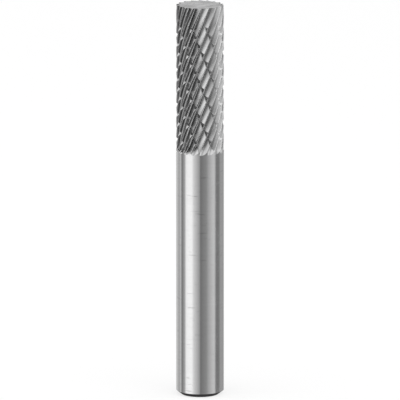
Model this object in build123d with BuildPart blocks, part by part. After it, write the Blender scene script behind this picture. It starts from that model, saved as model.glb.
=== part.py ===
"""Solid carbide burr: cylindrical head with a plain end, double cut, on a plain round shank.

The whole tool is ground from one carbide rod. Eighteen right-hand flutes leave the cutting
teeth, and nine left-hand grooves cross them and break each tooth into short cells.

It stands on the flat end of its shank. The origin is the centre of that end, and +Z runs
along the tool's axis to the head. Angles about the axis are measured from +X.
"""

from build123d import *

import os
from math import cos, pi, radians, sin, sqrt, tan

# Whole tool, in millimetres
OVERALL_LENGTH = 50.0
SHANK_DIAMETER = 6.0
SHANK_CHAMFER_LENGTH = 0.5  # along the axis
SHANK_CHAMFER_WIDTH = 0.65  # across the end face
HEAD_DIAMETER = 5.98  # over the cutting edges
GRINDING_ALLOWANCE = 0.01  # stock that the flutes take off the head all round
CUT_LENGTH = 18.7  # from the plain end to the tips where the flutes run out
SHOULDER_LENGTH = 1.0  # taper below the cut, where head and shank differ in diameter

# Main flutes: right-hand helix, right-hand cutting
FLUTE_COUNT = 18
HELIX_ANGLE = 25.0
FLUTE_DEPTH = 0.36
RAKE_LEAN = 8.0  # a tooth's front face leans back from the radius by this angle
GULLET_WIDTH = 0.07  # the gullet's narrow floor
LAND_WIDTH = 0.12
LAND_RELIEF = 6.0  # the land falls away behind the cutting edge by this angle
FLUTE_WHEEL_RADIUS = 1.8
FLUTE_START_ANGLE = -86.0  # where one flute's gullet opens in the plain end

# Chip-breaker grooves: left-hand helix
GROOVE_COUNT = 9
GROOVE_HELIX_ANGLE = 25.0
GROOVE_DEPTH = 0.30
GROOVE_INCLUDED_ANGLE = 76.0
GROOVE_WHEEL_RADIUS = 1.5
GROOVE_SETBACK = 2.0  # length of unbroken tooth below the plain end
GROOVE_CUT_LENGTH = 18.4  # from the plain end to the grooves' lower tips
GROOVE_START_ANGLE = -97.0  # where one groove would meet the plain end if it ran on

# Cutters only: how far they stand outside the rod and past its end
OUTSIDE = 0.1
EDGE_OVERRUN = 0.03
END_OVERRUN = 0.8
WHEEL_TURN = 60.0

shank_radius = SHANK_DIAMETER / 2
head_radius = HEAD_DIAMETER / 2
blank_radius = head_radius + GRINDING_ALLOWANCE
outer_radius = blank_radius + OUTSIDE
cut_bottom = OVERALL_LENGTH - CUT_LENGTH


def helix_lead(helix_angle):
    """Height of one whole turn of a helix that has this angle on the head's diameter."""
    return pi * HEAD_DIAMETER / tan(radians(helix_angle))


def runout_height(depth, wheel_radius, helix_angle):
    """Height over which a wheel of this radius leaves a cut of this depth."""
    along_cut = sqrt(wheel_radius**2 - (wheel_radius - depth) ** 2)
    return along_cut * cos(radians(helix_angle))


def section_plane(root_radius, height, angle, lead):
    """Plane square to a helical cut at its root: x outwards, y across the cut, z up along it.

    A negative lead means a left-hand cut.
    """
    outwards = Vector(cos(radians(angle)), sin(radians(angle)), 0)
    around = Vector(-outwards.Y, outwards.X, 0)
    along_cut = around * (2 * pi * root_radius / lead) + Vector(0, 0, 1)
    origin = outwards * root_radius + Vector(0, 0, height)
    return Plane(origin=origin, x_dir=outwards, z_dir=along_cut)


def wheel_axis(plane, wheel_radius):
    """Axis of a grinding wheel that touches the root of a cut in its section plane."""
    return Axis(plane.origin + plane.x_dir * wheel_radius, plane.y_dir)


# Main flute's section, across the cut from its gullet to the next tooth's edge
flute_lead = helix_lead(HELIX_ANGLE)
flute_root = head_radius - FLUTE_DEPTH
across = cos(radians(HELIX_ANGLE))
rake_slope = tan(radians(RAKE_LEAN))
edge_offset = pi * HEAD_DIAMETER / FLUTE_COUNT * across - FLUTE_DEPTH * rake_slope
heel_offset = edge_offset - LAND_WIDTH
heel_radius = head_radius - LAND_WIDTH * tan(radians(LAND_RELIEF))


def flute_point(radius, offset):
    """Point of the flute's section at a radius of the tool and an offset across the cut."""
    return Vector(sqrt(radius**2 - (offset * across) ** 2) - flute_root, offset)


edge = flute_point(head_radius, edge_offset)
heel = flute_point(heel_radius, heel_offset)
past_edge = edge + (edge - heel).normalized() * EDGE_OVERRUN
rake_top = flute_point(outer_radius, 0).X

flute_runout = runout_height(FLUTE_DEPTH, FLUTE_WHEEL_RADIUS, HELIX_ANGLE)
flute_start = cut_bottom + flute_runout
flute_plane = section_plane(flute_root, flute_start, 0, flute_lead)

with BuildPart() as flute_cutter:
    with BuildLine() as flute_path:
        Helix(
            pitch=flute_lead,
            height=OVERALL_LENGTH + END_OVERRUN - flute_start,
            radius=flute_root,
            center=(0, 0, flute_start),
        )
    with BuildSketch(flute_plane) as flute_section:
        with BuildLine():
            Polyline(
                (0, 0),
                flute_point(flute_root, GULLET_WIDTH),
                heel,
                past_edge,
                flute_point(outer_radius, past_edge.Y),
                flute_point(outer_radius, past_edge.Y / 2),
                (rake_top, -rake_top * rake_slope),
                close=True,
            )
        make_face()
    sweep(path=flute_path.wire(), is_frenet=True)
    revolve(
        flute_section.sketch,
        axis=wheel_axis(flute_plane, FLUTE_WHEEL_RADIUS),
        revolution_arc=-WHEEL_TURN,
    )

# Chip-breaker groove, a V with a wheel run-out at each end
groove_lead = helix_lead(GROOVE_HELIX_ANGLE)
groove_root = head_radius - GROOVE_DEPTH
groove_runout = runout_height(GROOVE_DEPTH, GROOVE_WHEEL_RADIUS, GROOVE_HELIX_ANGLE)
groove_bottom = OVERALL_LENGTH - GROOVE_CUT_LENGTH + groove_runout
groove_top = OVERALL_LENGTH - GROOVE_SETBACK - groove_runout
groove_turn = -360 * (groove_top - groove_bottom) / groove_lead
groove_height = outer_radius - groove_root
groove_half_width = groove_height * tan(radians(GROOVE_INCLUDED_ANGLE / 2))
groove_ends = (
    (section_plane(groove_root, groove_bottom, 0, -groove_lead), -WHEEL_TURN),
    (section_plane(groove_root, groove_top, groove_turn, -groove_lead), WHEEL_TURN),
)

with BuildPart() as groove_cutter:
    with BuildLine() as groove_path:
        Helix(
            pitch=groove_lead,
            height=groove_top - groove_bottom,
            radius=groove_root,
            center=(0, 0, groove_bottom),
            lefthand=True,
        )
    for end_plane, wheel_turn in groove_ends:
        with BuildSketch(end_plane) as groove_section:
            with BuildLine():
                Polyline(
                    (0, 0),
                    (groove_height, groove_half_width),
                    (groove_height, -groove_half_width),
                    close=True,
                )
            make_face()
        revolve(
            groove_section.sketch,
            axis=wheel_axis(end_plane, GROOVE_WHEEL_RADIUS),
            revolution_arc=wheel_turn,
        )
    sweep(groove_section.sketch, path=groove_path.wire(), is_frenet=True)

# The rod, and every flute and groove cut from it
flute_angle = FLUTE_START_ANGLE - 360 * (OVERALL_LENGTH - flute_start) / flute_lead
groove_angle = GROOVE_START_ANGLE + 360 * (OVERALL_LENGTH - groove_bottom) / groove_lead

with BuildPart() as burr:
    with BuildSketch(Plane.XZ):
        with BuildLine():
            Polyline(
                (0, 0),
                (shank_radius - SHANK_CHAMFER_WIDTH, 0),
                (shank_radius, SHANK_CHAMFER_LENGTH),
                (shank_radius, cut_bottom - SHOULDER_LENGTH),
                (blank_radius, cut_bottom),
                (blank_radius, OVERALL_LENGTH),
                (0, OVERALL_LENGTH),
                close=True,
            )
        make_face()
    revolve(axis=Axis.Z)
    with PolarLocations(0, FLUTE_COUNT, start_angle=flute_angle):
        add(flute_cutter.part, mode=Mode.SUBTRACT)
    with PolarLocations(0, GROOVE_COUNT, start_angle=groove_angle):
        add(groove_cutter.part, mode=Mode.SUBTRACT)

os.makedirs("parts", exist_ok=True)
burr.part.label = "burr"
export_step(burr.part, "parts/burr.step")
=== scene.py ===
from math import cos, pi, radians, sin

import bpy
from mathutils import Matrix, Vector


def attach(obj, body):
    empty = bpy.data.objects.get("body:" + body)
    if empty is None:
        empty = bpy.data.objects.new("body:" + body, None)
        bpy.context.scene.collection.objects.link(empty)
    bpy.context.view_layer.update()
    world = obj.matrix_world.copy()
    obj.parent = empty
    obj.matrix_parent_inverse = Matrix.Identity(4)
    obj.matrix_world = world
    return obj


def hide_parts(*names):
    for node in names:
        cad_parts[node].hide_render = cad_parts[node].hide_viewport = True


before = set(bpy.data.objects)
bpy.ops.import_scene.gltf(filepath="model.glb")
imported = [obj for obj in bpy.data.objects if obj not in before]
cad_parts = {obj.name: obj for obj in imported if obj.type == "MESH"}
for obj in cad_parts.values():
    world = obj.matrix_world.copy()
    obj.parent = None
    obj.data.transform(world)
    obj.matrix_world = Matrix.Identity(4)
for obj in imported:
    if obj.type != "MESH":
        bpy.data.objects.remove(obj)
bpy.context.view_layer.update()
scene = bpy.context.scene

MM = 0.001

# The tool's sizes, in millimetres and degrees
SIZES = {
    "Overall Length": 50.0,
    "Shank Diameter": 6.0,
    "Chamfer Length": 0.5,
    "Chamfer Width": 0.65,
    "Head Diameter": 5.98,
    "Blank Diameter": 6.0,
    "Cut Length": 18.7,
    "Helix Angle": 25.0,
    "Flute Depth": 0.43,
    "Rake Lean": 8.0,
    "Gullet Radius": 0.14,
    "Land Width": 0.08,
    "Land Relief": 15.0,
    "Slope Hollow": 0.03,
    "Flute Wheel Radius": 1.8,
    "Flute Start Angle": -86.0,
    "Groove Helix Angle": 25.0,
    "Groove Depth": 0.38,
    "Groove Included Angle": 76.0,
    "Groove Wheel Radius": 1.5,
    "Groove Setback": 2.0,
    "Groove Cut Length": 18.4,
    "Groove Start Angle": -97.0,
}
COUNTS = {
    "Flutes": 18,
    "Grooves": 9,
    "Steps Round Gullet": 5,
    "Steps Across Tooth": 13,
    "Steps Between Grooves": 12,
}
FINISHES = ("Teeth Finish", "Shank Finish", "End Finish")

# Where the rows of the skin lie past the cut, and below it on the shank, in millimetres
ROWS_BELOW_CUT = 0.6
ROWS_ABOVE_END = 0.3
ABOVE_CHAMFER = 0.2
SHANK_TO_HEAD = 0.3

# Small limits for the skin, in millimetres. A radius of NO_GROOVE is past every surface.
LEAST_GROOVE_STEP = 0.03
NO_WIDTH = 1e-5
SAME_LEVEL = 1e-4
BESIDE_GROOVE = 0.01
UNCUT_DEPTH = 0.006
MERGE_DISTANCE = 2e-4
NO_GROOVE = 99.0

# The bend, in degrees, up to which facets meet softly, how nearly upright a level face's
# normal is, and what keeps a count from rounding down
SOFT_BEND = 14
LEVEL_NORMAL = 0.999
ROUNDING = 0.001

# How many times the meeting of two surfaces is worked out, closer each time
LEAN_ROUNDS = 2
TIP_ROUNDS = 4
FLANK_ROUNDS = 3

# Cells of the grid that lie past the cut's lower and upper ends, so that none falls short
SPARE_BELOW = 1
SPARE_CELLS = 4


class Field:
    """A number carried by a node's socket. Sums written with it become Math nodes."""

    def __init__(self, tree, socket):
        self.tree = tree
        self.socket = socket

    def do(self, operation, *others):
        node = self.tree.nodes.new("ShaderNodeMath")
        node.operation = operation
        for socket, value in zip(node.inputs, (self, *others)):
            if isinstance(value, Field):
                self.tree.links.new(value.socket, socket)
            else:
                socket.default_value = value
        return Field(self.tree, node.outputs[0])

    def __add__(self, other):
        return self.do("ADD", other)

    def __sub__(self, other):
        return self.do("SUBTRACT", other)

    def __mul__(self, other):
        return self.do("MULTIPLY", other)

    def __truediv__(self, other):
        return self.do("DIVIDE", other)

    def __radd__(self, other):
        return self + other

    def __rmul__(self, other):
        return self * other

    def __rsub__(self, other):
        return self * -1 + other

    def __neg__(self):
        return self * -1

    def least(self, other):
        return self.do("MINIMUM", other)

    def most(self, other):
        return self.do("MAXIMUM", other)

    def root(self):
        return self.most(0).do("SQRT")

    def below(self, other):
        return self.do("LESS_THAN", other)

    def above(self, other):
        return self.do("GREATER_THAN", other)

    def size_only(self):
        """The number without its sign."""
        return self.do("ABSOLUTE")

    def one_over(self):
        return self.do("POWER", -1)

    def sin(self):
        return self.do("SINE")

    def cos(self):
        return self.do("COSINE")

    def tan(self):
        return self.do("TANGENT")

    def angle_over(self, other):
        return self.do("ARCTAN2", other)

    def floor(self):
        return self.do("FLOOR")

    def share(self):
        """The number kept between 0 and 1."""
        return self.most(0).least(1)

    def towards(self, other, part):
        return self + (other - self) * part


def squared(number):
    return number * number


def hypot(a, b):
    return (squared(a) + squared(b)).root()


def choose(test, yes, no):
    """yes where the test's number is 1, and no where it is 0."""
    tree = test.tree
    node = tree.nodes.new("GeometryNodeSwitch")
    node.input_type = "FLOAT"
    tree.links.new(test.socket, node.inputs["Switch"])
    for name, value in (("True", yes), ("False", no)):
        if isinstance(value, Field):
            tree.links.new(value.socket, node.inputs[name])
        else:
            node.inputs[name].default_value = value
    return Field(tree, node.outputs[0])


def link(tree, a, b):
    tree.links.new(a, b)


def store(tree, geometry, name, domain, value):
    """Keeps a number on the mesh under a name, for the finishes to read."""
    node = tree.nodes.new("GeometryNodeStoreNamedAttribute")
    node.data_type = "FLOAT"
    node.domain = domain
    node.inputs["Name"].default_value = name
    link(tree, geometry, node.inputs["Geometry"])
    link(tree, value, node.inputs["Value"])
    return node.outputs["Geometry"]


def burr_tree():
    """One closed skin for the whole tool.

    Its columns run along the flutes and its rows along the grooves, so that every
    cutting edge, gullet and groove lies on an edge of the mesh.
    """
    tree = bpy.data.node_groups.new("double_cut_burr", "GeometryNodeTree")
    sockets = tree.interface
    for values, kind in ((SIZES, "NodeSocketFloat"), (COUNTS, "NodeSocketInt")):
        for name, value in values.items():
            socket = sockets.new_socket(name, in_out="INPUT", socket_type=kind)
            socket.default_value = value
    for name in FINISHES:
        sockets.new_socket(name, in_out="INPUT", socket_type="NodeSocketMaterial")
    sockets.new_socket("Geometry", in_out="OUTPUT", socket_type="NodeSocketGeometry")
    group_in = tree.nodes.new("NodeGroupInput")
    group_out = tree.nodes.new("NodeGroupOutput")

    def size(name):
        return Field(tree, group_in.outputs[name])

    def turned(name):
        return size(name) * (pi / 180)

    # Sizes that follow from the named ones
    length = size("Overall Length")
    shank = size("Shank Diameter") / 2
    head = size("Head Diameter") / 2
    blank = size("Blank Diameter") / 2
    flutes = size("Flutes")
    grooves = size("Grooves")
    tooth_steps = size("Steps Across Tooth")
    cell_steps = size("Steps Between Grooves")
    full_turn = 2 * pi
    helix = turned("Helix Angle")
    rising = helix.cos()
    turning = helix.sin()
    flute_twist = helix.tan() / head
    flute_pitch = flutes.one_over() * full_turn
    flute_wheel = size("Flute Wheel Radius")
    depth = size("Flute Depth")
    root = head - depth
    rake_lean = turned("Rake Lean")
    rake = rake_lean.tan()
    gullet = size("Gullet Radius")
    gullet_steps = size("Steps Round Gullet")
    pitch_across = flute_pitch * head * rising
    edge_offset = pitch_across - depth * rake
    heel_offset = edge_offset - size("Land Width")
    heel_radius = head - size("Land Width") * turned("Land Relief").tan()

    def section_height(radius, offset):
        return (squared(radius) - squared(offset * rising)).root() - root

    heel_height = section_height(heel_radius, heel_offset)
    edge_height = section_height(head, edge_offset)
    rake_angle_in = rake_lean - pi / 2
    gullet_middle = gullet * (rake_lean.cos() - (1 - rake_lean.sin()) * rake)
    to_heel = hypot(heel_height - gullet, heel_offset - gullet_middle)
    slope_angle = (
        (heel_height - gullet).angle_over(heel_offset - gullet_middle)
        + (gullet / to_heel).do("ARCSINE")
    )
    along_wheel = (squared(flute_wheel) - squared(flute_wheel - depth)).root()
    flute_start = length - size("Cut Length") + along_wheel * rising
    start_turn = turned("Flute Start Angle") - (length - flute_start) * flute_twist

    groove_helix = turned("Groove Helix Angle")
    groove_rising = groove_helix.cos()
    groove_turning = groove_helix.sin()
    groove_twist = groove_helix.tan() / head
    groove_pitch = grooves.one_over() * full_turn
    groove_wheel = size("Groove Wheel Radius")
    groove_depth = size("Groove Depth")
    groove_root = head - groove_depth
    groove_flank = (turned("Groove Included Angle") / 2).tan()
    groove_run = (
        squared(groove_wheel) - squared(groove_wheel - groove_depth)
    ).root() * groove_rising
    groove_bottom = length - size("Groove Cut Length") + groove_run
    groove_top = length - size("Groove Setback") - groove_run

    # How fast a flute and a groove turn towards each other up the head
    closing = flute_twist + groove_twist

    # Rows and columns of the grid that becomes the skin
    shank_rows = 6
    flank_rows = 2
    across_cells = flutes * tooth_steps
    low = length - size("Cut Length") - ROWS_BELOW_CUT
    high = length + ROWS_ABOVE_END
    first_turn = start_turn - flute_start * flute_twist
    groove_zero = turned("Groove Start Angle") + length * groove_twist
    first_crossing = (closing * low + first_turn - groove_zero) / groove_pitch
    first_groove = first_crossing.floor() - SPARE_BELOW
    cells = ((closing * (high - low) + full_turn) / groove_pitch).floor() + SPARE_CELLS
    last_row = cells * cell_steps + shank_rows

    grid = tree.nodes.new("GeometryNodeMeshGrid")
    link(tree, across_cells.socket, grid.inputs["Size X"])
    link(tree, last_row.socket, grid.inputs["Size Y"])
    link(tree, (across_cells + 1).socket, grid.inputs["Vertices X"])
    link(tree, (last_row + 1).socket, grid.inputs["Vertices Y"])
    place = tree.nodes.new("GeometryNodeInputPosition")
    split = tree.nodes.new("ShaderNodeSeparateXYZ")
    link(tree, place.outputs[0], split.inputs[0])
    column = (Field(tree, split.outputs["X"]) + across_cells / 2 + 0.5).floor()
    row = (Field(tree, split.outputs["Y"]) + last_row / 2 + 0.5).floor()
    tooth = (column / tooth_steps + ROUNDING).floor()
    step = column - tooth * tooth_steps
    edge_step = tooth_steps - 1
    heel_step = tooth_steps - 2
    at_edge = step.above(edge_step - 0.5)
    round_gullet = rake_angle_in.towards(slope_angle, (step / gullet_steps).share())
    foot_offset = gullet_middle + gullet * round_gullet.sin()
    foot_height = gullet * (1 - round_gullet.cos())
    up_slope = ((step - gullet_steps) / (heel_step - gullet_steps)).share()
    hollow = size("Slope Hollow") * 4 * up_slope * (1 - up_slope)
    offset = choose(at_edge, edge_offset, foot_offset.towards(heel_offset, up_slope))
    height = choose(at_edge, edge_height, foot_height.towards(heel_height, up_slope) - hollow)
    tooth_turn = start_turn + tooth * flute_pitch
    next_turn = tooth_turn + flute_pitch

    def flute_wall(level, turn, offset, height):
        """Radius and angle of a flute's surface, with the rise of its wheel at the end."""
        rise = level - flute_start + offset * turning
        past = (rise / rising).least(0)
        lift = flute_wheel - (squared(flute_wheel - height) - squared(past)).root()
        sideways = past * turning + offset * rising
        outwards = root + lift
        angle = turn + sideways.angle_over(outwards) + rise.most(0) * flute_twist
        return hypot(outwards, sideways), angle

    def rake_angle(level, radius):
        """Angle of the next tooth's front face at a radius."""
        past = ((level - flute_start) / rising).least(0)
        lean = radius - root
        for _ in range(LEAN_ROUNDS):
            sideways = past * turning - lean * rake * rising
            outwards = (squared(radius) - squared(sideways)).root()
            lean = flute_wheel - hypot(flute_wheel - (outwards - root), past)
        sideways = past * turning - lean * rake * rising
        rise = (level - flute_start - lean * rake * turning).most(0)
        return next_turn + sideways.angle_over(outwards) + rise * flute_twist

    def tip_level(offset, height):
        """Height at which a flute's surface comes out through the blank."""
        outwards = blank
        for _ in range(TIP_ROUNDS):
            lift = flute_wheel - (outwards - root)
            past = -(squared(flute_wheel - height) - squared(lift)).root()
            sideways = past * turning + offset * rising
            outwards = (squared(blank) - squared(sideways)).root()
        return flute_start - offset * turning + past * rising

    lowest_tip = tip_level(0, 0)
    tip = choose(at_edge, lowest_tip, tip_level(offset, height))

    # Where this column crosses the groove below a row and the groove above it
    cell_row = row - shank_rows
    cell = (cell_row / cell_steps + ROUNDING).floor()
    sub = cell_row - cell * cell_steps
    column_turn = (
        tooth_turn
        + (offset * rising).angle_over(root + height)
        + (offset * turning - flute_start) * flute_twist
    )

    def crossing(number):
        return (groove_zero + (first_groove + number) * groove_pitch - column_turn) / closing

    def groove_past(level):
        """How far a height is past the end of the groove's full depth, along the groove."""
        below = ((level - groove_bottom) / groove_rising).least(0)
        above = ((level - groove_top) / groove_rising).most(0)
        return below + above

    def groove_side(level, fraction, side):
        """Distance up the column to a groove's flank, and the groove's radius there."""
        surface, _ = flute_wall(level, tooth_turn, offset, height)
        surface = surface.least(blank)
        half = 0
        for _ in range(FLANK_ROUNDS):
            past = groove_past(level + half * side)
            top = (squared(surface) - squared(half * groove_rising)).root()
            room = groove_wheel - (top - groove_root)
            half = (groove_wheel - hypot(room, past)).most(0) * groove_flank
        across = half * fraction
        rise = across / groove_flank
        lift = groove_wheel - (squared(groove_wheel - rise) - squared(past)).root()
        outwards = groove_root + lift
        radius = hypot(outwards, across * groove_rising)
        radius = choose(half.below(NO_WIDTH), NO_GROOVE, radius)
        turn = (across * groove_rising).angle_over(outwards)
        distance = (turn + across * groove_turning * groove_twist) / closing
        return distance.most(fraction * LEAST_GROOVE_STEP), radius

    lower_part = (sub / flank_rows).least(1)
    upper_part = ((cell_steps - sub) / flank_rows).least(1)
    lower_cross = crossing(cell)
    upper_cross = crossing(cell + 1)
    lower_reach, lower_radius = groove_side(lower_cross, lower_part, 1)
    upper_reach, upper_radius = groove_side(upper_cross, upper_part, -1)
    between = ((sub - flank_rows) / (cell_steps - 2 * flank_rows)).share()
    wanted = (lower_cross + lower_reach).towards(upper_cross - upper_reach, between)
    level = wanted.most(tip).least(length)
    groove_radius = choose(between.above(1 - ROUNDING), upper_radius, NO_GROOVE)
    groove_radius = choose(between.below(ROUNDING), lower_radius, groove_radius)
    inside = (wanted - level).size_only().below(SAME_LEVEL)
    groove_radius = choose(inside, groove_radius, NO_GROOVE)

    flute_radius, flute_angle = flute_wall(level, tooth_turn, offset, height)
    cut_radius = flute_radius.least(blank).least(groove_radius)
    cut_angle = choose(at_edge, rake_angle(level, cut_radius), flute_angle)

    # Foot, chamfer and shank rows, and the middle of the plain end
    chamfer = size("Chamfer Length")
    shank_profile = (
        (0.0, 0.0),
        (shank - size("Chamfer Width"), 0.0),
        (shank, chamfer),
        (shank, chamfer + ABOVE_CHAMFER),
        (shank, low),
        (blank, low + SHANK_TO_HEAD),
    )
    level_at = level
    radius_at = cut_radius
    for number, (row_radius, row_level) in reversed(list(enumerate(shank_profile))):
        here = row.below(number + 0.5)
        level_at = choose(here, row_level, level_at)
        radius_at = choose(here, row_radius, radius_at)
    is_end = row.above(last_row - 0.5)
    radius_at = choose(is_end, 0.0, radius_at)
    level_at = choose(is_end, length, level_at)
    _, straight_angle = flute_wall(lowest_tip, tooth_turn, offset, height)
    angle_at = choose(row.below(shank_rows - 0.5), straight_angle, cut_angle)

    combine = tree.nodes.new("ShaderNodeCombineXYZ")
    link(tree, (radius_at * angle_at.cos() * MM).socket, combine.inputs["X"])
    link(tree, (radius_at * angle_at.sin() * MM).socket, combine.inputs["Y"])
    link(tree, (level_at * MM).socket, combine.inputs["Z"])

    # What the finishes need to know about each place on the skin, with depths in millimetres
    on_head = 1 - row.below(shank_rows + 0.5)
    before_grooves = flute_radius.least(blank)
    no_groove_here = before_grooves.below(cut_radius + BESIDE_GROOVE)
    stored = grid.outputs["Mesh"]
    on_land = step.above(heel_step - 0.5)
    middle = Field(tree, split.outputs["X"]) + across_cells / 2
    on_rake = (middle - (middle / tooth_steps).floor() * tooth_steps).above(edge_step)
    for name, domain, value in (
        ("cutting_edge", "POINT", on_land * on_head * no_groove_here),
        ("across_teeth", "POINT", tooth * pitch_across + offset),
        ("cut_depth", "POINT", (blank - cut_radius) * on_head),
        ("groove_depth", "POINT", (before_grooves - cut_radius) * on_head),
        ("rake_face", "FACE", on_rake),
        ("up_the_back", "POINT", up_slope),
    ):
        stored = store(tree, stored, name, domain, value.socket)

    move = tree.nodes.new("GeometryNodeSetPosition")
    link(tree, stored, move.inputs["Geometry"])
    link(tree, combine.outputs[0], move.inputs["Position"])
    merge = tree.nodes.new("GeometryNodeMergeByDistance")
    merge.inputs["Distance"].default_value = MERGE_DISTANCE * MM
    link(tree, move.outputs[0], merge.inputs["Geometry"])

    # Facets meet softly unless the bend between them is a real edge
    bend = tree.nodes.new("GeometryNodeInputMeshEdgeAngle")
    soft = Field(tree, bend.outputs["Unsigned Angle"]).below(radians(SOFT_BEND))
    smooth = tree.nodes.new("GeometryNodeSetShadeSmooth")
    smooth.domain = "EDGE"
    link(tree, merge.outputs[0], smooth.inputs["Geometry"])
    link(tree, soft.socket, smooth.inputs["Shade Smooth"])
    smooth_faces = tree.nodes.new("GeometryNodeSetShadeSmooth")
    smooth_faces.domain = "FACE"
    link(tree, smooth.outputs[0], smooth_faces.inputs["Geometry"])
    realize = tree.nodes.new("GeometryNodeRealizeInstances")
    link(tree, smooth_faces.outputs[0], realize.inputs["Geometry"])

    # The teeth's finish, and over it the shank's where nothing was cut and the end's on level faces
    cut = tree.nodes.new("GeometryNodeInputNamedAttribute")
    cut.data_type = "FLOAT"
    cut.inputs["Name"].default_value = "cut_depth"
    facing = tree.nodes.new("GeometryNodeInputNormal")
    facing_parts = tree.nodes.new("ShaderNodeSeparateXYZ")
    link(tree, facing.outputs[0], facing_parts.inputs[0])
    uncut = Field(tree, cut.outputs[0]).below(UNCUT_DEPTH)
    level_face = 1 - Field(tree, facing_parts.outputs["Z"]).size_only().below(LEVEL_NORMAL)
    finished = realize.outputs[0]
    for name, where in zip(FINISHES, (None, uncut, level_face)):
        coat = tree.nodes.new("GeometryNodeSetMaterial")
        link(tree, finished, coat.inputs["Geometry"])
        link(tree, group_in.outputs[name], coat.inputs["Material"])
        if where:
            link(tree, where.socket, coat.inputs["Selection"])
        finished = coat.outputs[0]
    link(tree, finished, group_out.inputs["Geometry"])
    return tree


def made_mesh(name, tree, values):
    """The plain mesh that a Geometry Nodes tree makes with these inputs."""
    holder = bpy.data.objects.new(name, bpy.data.meshes.new(name))
    scene.collection.objects.link(holder)
    modifier = holder.modifiers.new(name, "NODES")
    modifier.node_group = tree
    for item in tree.interface.items_tree:
        if item.item_type == "SOCKET" and item.name in values:
            modifier[item.identifier] = values[item.name]
    bpy.context.view_layer.update()
    evaluated = holder.evaluated_get(bpy.context.evaluated_depsgraph_get())
    mesh = bpy.data.meshes.new_from_object(evaluated)
    holder.modifiers.remove(modifier)
    holder.data = mesh
    mesh.name = name

    # The tree leaves an empty first slot for faces with no material, and there are none
    slots = [0] * len(mesh.polygons)
    mesh.polygons.foreach_get("material_index", slots)
    if mesh.materials[0] is None and min(slots) > 0:
        mesh.materials.pop(index=0)
        mesh.polygons.foreach_set("material_index", [slot - 1 for slot in slots])
    return holder


def effect(name, inputs, outputs):
    """A node group that the finishes share, with its inputs as Fields and its output node."""
    tree = bpy.data.node_groups.new(name, "ShaderNodeTree")
    for socket, value in inputs.items():
        kind = "NodeSocketVector" if value is None else "NodeSocketFloat"
        made = tree.interface.new_socket(socket, in_out="INPUT", socket_type=kind)
        if value is not None:
            made.default_value = value
    for socket in outputs:
        tree.interface.new_socket(socket, in_out="OUTPUT", socket_type="NodeSocketFloat")
    group_in = tree.nodes.new("NodeGroupInput")
    group_out = tree.nodes.new("NodeGroupOutput")
    fields = {socket: Field(tree, group_in.outputs[socket]) for socket in inputs}
    return tree, fields, group_out


def scaled(vector, factor):
    """A vector times a number."""
    node = vector.tree.nodes.new("ShaderNodeVectorMath")
    node.operation = "SCALE"
    link(vector.tree, vector.socket, node.inputs[0])
    if isinstance(factor, Field):
        link(vector.tree, factor.socket, node.inputs["Scale"])
    else:
        node.inputs["Scale"].default_value = factor
    return Field(vector.tree, node.outputs[0])


def vector_of(tree, *parts):
    node = tree.nodes.new("ShaderNodeCombineXYZ")
    for socket, part in zip(node.inputs, parts):
        if isinstance(part, Field):
            link(tree, part.socket, socket)
        else:
            socket.default_value = part
    return Field(tree, node.outputs[0])


def ramp(value, start, end):
    """0 up to the start, 1 from the end on, and rising evenly between them."""
    return ((value - start) / (end - start)).share()


def noise(vector, detail=2, roughness=0.5):
    node = vector.tree.nodes.new("ShaderNodeTexNoise")
    node.inputs["Scale"].default_value = 1
    node.inputs["Detail"].default_value = detail
    node.inputs["Roughness"].default_value = roughness
    link(vector.tree, vector.socket, node.inputs["Vector"])
    return Field(vector.tree, node.outputs["Fac"])


def grinding_lines():
    """Fine lines that a grinding wheel leaves, and the few deeper marks among them."""
    tree, value, out = effect(
        "grinding_lines",
        {"Across": 0, "Along": 0, "Depth": 0, "Line Width": 0.05, "Line Length": 2.0},
        ("Lines", "Marks"),
    )
    mark_narrowing = 0.45
    mark_shortening = 2.2
    away_from_lines = 31
    across = value["Across"] / value["Line Width"]
    along = value["Along"] / value["Line Length"]
    depth = value["Depth"] / value["Line Length"]
    lines = noise(vector_of(tree, across, along, depth), detail=3, roughness=0.6)
    marks = noise(vector_of(
        tree,
        across * mark_narrowing + away_from_lines,
        along * mark_shortening,
        depth * mark_shortening,
    ), detail=1)
    link(tree, lines.socket, out.inputs["Lines"])
    link(tree, ramp(marks, 0.66, 0.7314).socket, out.inputs["Marks"])
    return tree


def metal_tone():
    """Slow changes of tone over the metal, and small dull spots."""
    tree, value, out = effect(
        "metal_tone", {"Place": None, "Patch Size": 2.0, "Spot Size": 0.2}, ("Tone", "Spots")
    )
    patches = scaled(value["Place"], value["Patch Size"].one_over())
    tone = noise(patches, detail=4, roughness=0.6)
    spots = noise(scaled(value["Place"], value["Spot Size"].one_over()), detail=1)
    link(tree, tone.socket, out.inputs["Tone"])
    link(tree, ramp(spots, 0.6, 0.725).socket, out.inputs["Spots"])
    return tree


def edge_wear_and_highlight():
    """A bright, slightly uneven line along an edge, for its wear and a painted highlight."""
    tree, value, out = effect(
        "edge_wear_and_highlight", {"Edge": 0, "Narrowness": 6, "Place": None, "Chip Size": 0.3}, ("Wear",)
    )
    least_wear = 0.4
    unevenness = 1.2
    chips = noise(scaled(value["Place"], value["Chip Size"].one_over()), detail=2)
    line = value["Edge"].most(0).do("POWER", value["Narrowness"])
    wear_and_highlight = line * (chips * unevenness + least_wear).share()
    link(tree, wear_and_highlight.socket, out.inputs["Wear"])
    return tree


CARBIDE_COLOUR = (0.42, 0.42, 0.421)
EFFECTS = {make.__name__: make() for make in (grinding_lines, metal_tone, edge_wear_and_highlight)}


def use_effect(tree, name, **values):
    """Places a shared effect in a material and gives its outputs in order, as Fields."""
    node = tree.nodes.new("ShaderNodeGroup")
    node.node_tree = EFFECTS[name]
    for socket, value in values.items():
        target = node.inputs[socket.replace("_", " ")]
        if isinstance(value, Field):
            link(tree, value.socket, target)
        else:
            target.default_value = value
    return [Field(tree, output) for output in node.outputs]


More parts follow.
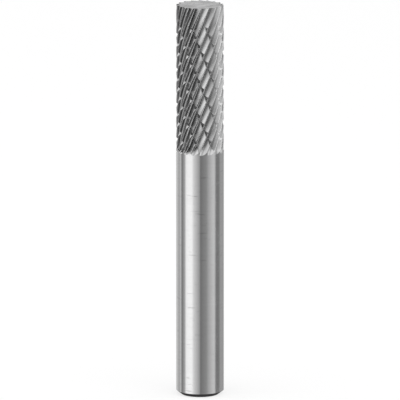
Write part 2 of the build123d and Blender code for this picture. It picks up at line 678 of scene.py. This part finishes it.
def attribute(tree, name):
    node = tree.nodes.new("ShaderNodeAttribute")
    node.attribute_name = name
    return Field(tree, node.outputs["Fac"])


def finish(name):
    """A plain metal to finish, and its place in millimetres as a vector and as three numbers."""
    material = bpy.data.materials.new(name)
    material.use_nodes = True
    tree = material.node_tree
    metal = tree.nodes["Principled BSDF"]
    metal.inputs["Metallic"].default_value = 1
    coordinates = tree.nodes.new("ShaderNodeTexCoord")
    place = scaled(Field(tree, coordinates.outputs["Object"]), 1 / MM)
    parts = tree.nodes.new("ShaderNodeSeparateXYZ")
    link(tree, place.socket, parts.inputs[0])
    return material, tree, metal, place, [Field(tree, part) for part in parts.outputs]


def uneven(tone, lines, plain, by_tone, by_lines):
    """A plain value, changed by the metal's tone and by its grinding lines."""
    return tone * by_tone + lines * by_lines + plain


def dimmed(brightness, *losses):
    """Brightness after each place loses its part of it."""
    for place, part in losses:
        brightness = brightness * (1 - place * part)
    return brightness


def polish(tree, metal, brightness, roughness, height, relief):
    """Gives a metal its brightness, its roughness and a relief, its depth in millimetres."""
    colour = tree.nodes.new("ShaderNodeCombineColor")
    for socket, share in zip(colour.inputs, CARBIDE_COLOUR):
        link(tree, (brightness * share).share().socket, socket)
    link(tree, colour.outputs[0], metal.inputs["Base Color"])
    link(tree, roughness.share().socket, metal.inputs["Roughness"])
    bump = tree.nodes.new("ShaderNodeBump")
    bump.inputs["Strength"].default_value = 1
    bump.inputs["Distance"].default_value = relief * MM
    link(tree, height.socket, bump.inputs["Height"])
    link(tree, bump.outputs[0], metal.inputs["Normal"])


def teeth_finish():
    """Flutes and grooves as the wheel leaves them: lines along each cut, painted shade in the roots,
    grooves, rake faces and lower backs, and edges lighter from wear and a painted highlight.
    """
    wear_and_highlight_brightness = 1.4
    worn_roughness = 0.42
    lower_back_middle = 0.28
    lower_back_reach = 0.2222
    material, tree, metal, place, (_, _, z) = finish("teeth_ground")
    across = attribute(tree, "across_teeth")
    edge = attribute(tree, "cutting_edge")
    lines, _ = use_effect(
        tree, "grinding_lines", Across=across, Along=z, Line_Width=0.06, Line_Length=2.5
    )
    tone, spots = use_effect(tree, "metal_tone", Place=place, Patch_Size=0.7, Spot_Size=0.12)
    # Lighter colour along the cutting edges: partly wear of the metal, partly a painted highlight where
    # the edges catch the light.
    (wear_and_highlight,) = use_effect(tree, "edge_wear_and_highlight", Edge=edge, Narrowness=3, Place=place, Chip_Size=0.4)
    # Painted shade: the colour darkens in the deep roots of the gullets.
    root = ramp(attribute(tree, "cut_depth"), 0.12, 0.32)
    # Painted shade: the colour darkens in the deeper parts of the grooves.
    groove = ramp(attribute(tree, "groove_depth"), 0.1, 0.225)
    # Painted shade: a dark band across the lower part of each tooth's back slope.
    from_lower_back = (attribute(tree, "up_the_back") - lower_back_middle).size_only()
    painted_lower_back_shade = (1 - from_lower_back / lower_back_reach).share()
    brightness = dimmed(
        uneven(tone, lines, plain=0.755, by_tone=0.25, by_lines=0.24),
        (root, 0.1),
        (painted_lower_back_shade, 0.38),
        # Painted shade: the rake faces are darkened.
        (attribute(tree, "rake_face"), 0.6),
        (groove, 0.08),
        (spots, 0.08),
    ).towards(wear_and_highlight_brightness, wear_and_highlight * 0.7)
    roughness = uneven(tone, lines, plain=0.145, by_tone=0.06, by_lines=0.05) + root * 0.05
    roughness = roughness.towards(worn_roughness, wear_and_highlight)
    polish(tree, metal, brightness, roughness, height=lines + spots * 0.5, relief=0.002)
    return material


def shank_finish():
    """Centreless-ground shank: fine rings, and a few short marks from collets."""
    material, tree, metal, place, (x, y, z) = finish("shank_ground")
    lines, marks = use_effect(
        tree, "grinding_lines", Across=z, Along=x, Depth=y, Line_Width=0.09, Line_Length=4.5
    )
    tone, spots = use_effect(tree, "metal_tone", Place=place, Patch_Size=3.5, Spot_Size=0.25)
    brightness = dimmed(
        uneven(tone, lines, plain=0.88, by_tone=0.12, by_lines=0.14),
        (marks, 0.09),
        (spots, 0.04),
    )
    roughness = uneven(tone, lines, plain=0.075, by_tone=0.05, by_lines=0.04) + marks * 0.1
    polish(tree, metal, brightness, roughness, height=lines - marks * 0.4, relief=0.0008)
    return material


def end_finish():
    """Ends ground flat across the tool, with a mottled, duller face."""
    along_x = 0.95
    along_y = 0.3
    material, tree, metal, place, (x, y, _) = finish("end_ground")
    across = y * along_x - x * along_y
    along = x * along_x + y * along_y
    lines, marks = use_effect(
        tree, "grinding_lines", Across=across, Along=along, Line_Width=0.25, Line_Length=3.0
    )
    tone, spots = use_effect(tree, "metal_tone", Place=place, Patch_Size=1.7, Spot_Size=0.35)
    brightness = dimmed(
        uneven(tone, lines, plain=-0.73, by_tone=2.0, by_lines=1.6),
        (spots, 0.1),
        (marks, 0.2),
    )
    roughness = uneven(tone, lines, plain=0.2, by_tone=0.1, by_lines=0.06)
    polish(tree, metal, brightness, roughness, height=lines, relief=0.0015)
    return material


finishes = dict(zip(FINISHES, (teeth_finish(), shank_finish(), end_finish())))
burr = made_mesh("carbide_burr", burr_tree(), {**SIZES, **COUNTS, **finishes})
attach(burr, "root")
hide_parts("burr")

# Light tent: rings of cards round the burr, which its bright metal mirrors. Each ring has its
# lower and upper edge, in degrees above the level of the burr, and the brightness of its
# cards by their angle round the burr, from the camera's side at 0 to its right at 90.
TENT_RADIUS = 1.0
TENT_HEIGHT = 0.03
RING_SOFTNESS = 4
AZIMUTH_STEP = 3
ELEVATION_STEP = 2
TENT_RINGS = (
    (-90, -32, (
        (-180, 0.08), (-135, 0.05), (-90, 0.1), (-45, 0.9), (0, 0.9), (45, 2.1), (90, 1.1), (135, 1.4),
        (155, 0.08),
    )),
    (-32, -20, (
        (-180, 0.1), (-150, 0.2), (-120, 1.1), (-90, 0.8), (-60, 1.0), (-30, 0.3), (0, 0.05),
        (30, 0.05), (60, 1.2), (90, 4.8), (120, 0.6), (150, 0.1),
    )),
    (-20, -7, (
        (-180, 0.35), (-150, 1.05), (-120, 0.75), (-108, 1.15), (-98, 0.35), (-90, 0.6), (-80, 0.8),
        (-70, 2.0), (-55, 2.12), (-40, 2.1), (-30, 1.45), (-15, 1.05), (0.5, 0.6), (1.5, 0.36),
        (15, 0.47), (30, 0.56), (45, 0.87), (60, 1.1), (70, 1.2), (80, 0.95), (82, 0.42), (100, 0.36),
        (120, 0.72), (150, 0.55),
    )),
    (-7, 8, (
        (-180, 0.15), (-150, 0.1), (-120, 0.4), (-90, 0.05), (30, 0.05), (60, 1.45), (90, 3.0),
        (120, 0.3), (150, 0.1),
    )),
    (8, 28, (
        (-180, 0.8), (-150, 3.2), (-120, 1.2), (-90, 0.85), (-60, 1.9), (-30, 1.2), (0, 0.55),
        (30, 1.15), (60, 1.2), (90, 0.1), (120, 2.2), (150, 0.4),
    )),
    (28, 90, (
        (-180, 0.7), (-135, 0.3), (-90, 1.7), (-45, 1.4), (0, 1.45), (45, 1.75), (90, 1.05), (135, 0.7),
    )),
)


def around(stops, azimuth):
    """Brightness at an azimuth, between the stops on each side of it."""
    stops = [*stops, (stops[0][0] + 360, stops[0][1])]
    for (left, first), (right, last) in zip(stops, stops[1:]):
        if left <= azimuth <= right:
            return first + (last - first) * (azimuth - left) / (right - left)


def tent_glow(azimuth, elevation):
    """Brightness of the tent in a direction, with soft edges between its rings."""
    glow = 0
    for low, high, stops in TENT_RINGS:
        from_low = 1 if low == -90 else (elevation - low) / RING_SOFTNESS + 0.5
        to_high = 1 if high == 90 else (high - elevation) / RING_SOFTNESS + 0.5
        glow += around(stops, azimuth) * max(0, min(1, from_low, to_high))
    return glow


def studio_piece(name, paint, points, faces):
    """A mesh for the studio, and its material's tree with nothing in it but an output."""
    mesh = bpy.data.meshes.new(name)
    mesh.from_pydata(points, [], faces)
    material = bpy.data.materials.new(paint)
    material.use_nodes = True
    tree = material.node_tree
    tree.nodes.clear()
    output = tree.nodes.new("ShaderNodeOutputMaterial")
    mesh.materials.append(material)
    holder = bpy.data.objects.new(name, mesh)
    scene.collection.objects.link(holder)
    return holder, tree, output.inputs["Surface"]


def light_tent():
    """The tent's cards as one glowing ball, which the camera doesn't see."""
    stops = {stop for _, _, ring in TENT_RINGS for stop, _ in ring}
    azimuths = sorted(stops | set(range(-180, 180, AZIMUTH_STEP)))
    elevations = range(-90, 90 + ELEVATION_STEP, ELEVATION_STEP)
    directions = [(azimuth, elevation) for elevation in elevations for azimuth in azimuths]
    points = [
        (
            TENT_RADIUS * cos(radians(elevation)) * sin(radians(azimuth)),
            -TENT_RADIUS * cos(radians(elevation)) * cos(radians(azimuth)),
            TENT_RADIUS * sin(radians(elevation)) + TENT_HEIGHT,
        )
        for azimuth, elevation in directions
    ]
    count = len(azimuths)
    faces = []
    for row in range(len(elevations) - 1):
        low = row * count
        high = low + count
        for left in range(count):
            right = (left + 1) % count
            faces.append((low + left, low + right, high + right, high + left))
    tent, tree, surface = studio_piece("light_tent", "tent_cards", points, faces)
    glows = tent.data.attributes.new("glow", "FLOAT", "POINT")
    glows.data.foreach_set("value", [tent_glow(*direction) for direction in directions])
    emission = tree.nodes.new("ShaderNodeEmission")
    link(tree, attribute(tree, "glow").socket, emission.inputs["Strength"])
    link(tree, emission.outputs[0], surface)
    tent.visible_camera = False
    tent.visible_transmission = False


# Floor, in metres, degrees and shares of white
FLOOR_RADIUS = 0.9
FLOOR_CORNER_STEP = 6
FLOOR_PAINT = (0.93, 0.93, 0.93, 1)
FLOOR_WHITE = 0.7


def pale_floor():
    """White in the picture apart from the burr's soft shadow, and not mirrored in the metal."""
    corners = [
        (FLOOR_RADIUS * cos(radians(turn)), FLOOR_RADIUS * sin(radians(turn)), 0)
        for turn in range(0, 360, FLOOR_CORNER_STEP)
    ]
    floor, tree, surface = studio_piece("floor", "floor_paint", corners, [range(len(corners))])
    paint = tree.nodes.new("ShaderNodeBsdfDiffuse")
    paint.inputs["Color"].default_value = FLOOR_PAINT
    white = tree.nodes.new("ShaderNodeEmission")
    rays = tree.nodes.new("ShaderNodeLightPath")
    seen = Field(tree, rays.outputs["Is Camera Ray"])
    for ray in ("Is Glossy Ray", "Is Transmission Ray"):
        seen = seen.most(Field(tree, rays.outputs[ray]))
    mix = tree.nodes.new("ShaderNodeMixShader")
    link(tree, (seen * FLOOR_WHITE).socket, mix.inputs["Fac"])
    link(tree, paint.outputs[0], mix.inputs[1])
    link(tree, white.outputs[0], mix.inputs[2])
    link(tree, mix.outputs[0], surface)
    floor.visible_glossy = False


def white_world():
    world = bpy.data.worlds.new("studio")
    scene.world = world
    world.use_nodes = True
    background = world.node_tree.nodes["Background"]
    background.inputs["Color"].default_value = (1, 1, 1, 1)
    background.inputs["Strength"].default_value = 1


# Camera: its picture in pixels, its angle in degrees, its sensor in millimetres, the rest in metres
PIXELS_PER_MM = 7.94
IMAGE_SIDE = 400
ELEVATION = 12
SENSOR_WIDTH = 36
DISTANCE = 1.5
NEAREST = 0.01
FARTHEST = 20
LOOKS_AT = Vector((0, 0, 0.02493))


def studio_camera():
    """A long lens, so that the sides of the burr stay parallel."""
    data = bpy.data.cameras.new("camera")
    camera = bpy.data.objects.new("camera", data)
    scene.collection.objects.link(camera)
    scene.camera = camera
    view_width = IMAGE_SIDE / PIXELS_PER_MM * MM
    data.sensor_width = SENSOR_WIDTH
    data.lens = SENSOR_WIDTH * DISTANCE / view_width
    data.clip_start = NEAREST
    data.clip_end = FARTHEST
    back = Vector((0, -cos(radians(ELEVATION)), sin(radians(ELEVATION))))
    camera.location = LOOKS_AT + back * DISTANCE
    camera.rotation_mode = "QUATERNION"
    camera.rotation_quaternion = (-back).to_track_quat("-Z", "Y")


light_tent()
pale_floor()
white_world()
studio_camera()
scene.view_settings.view_transform = "Standard"
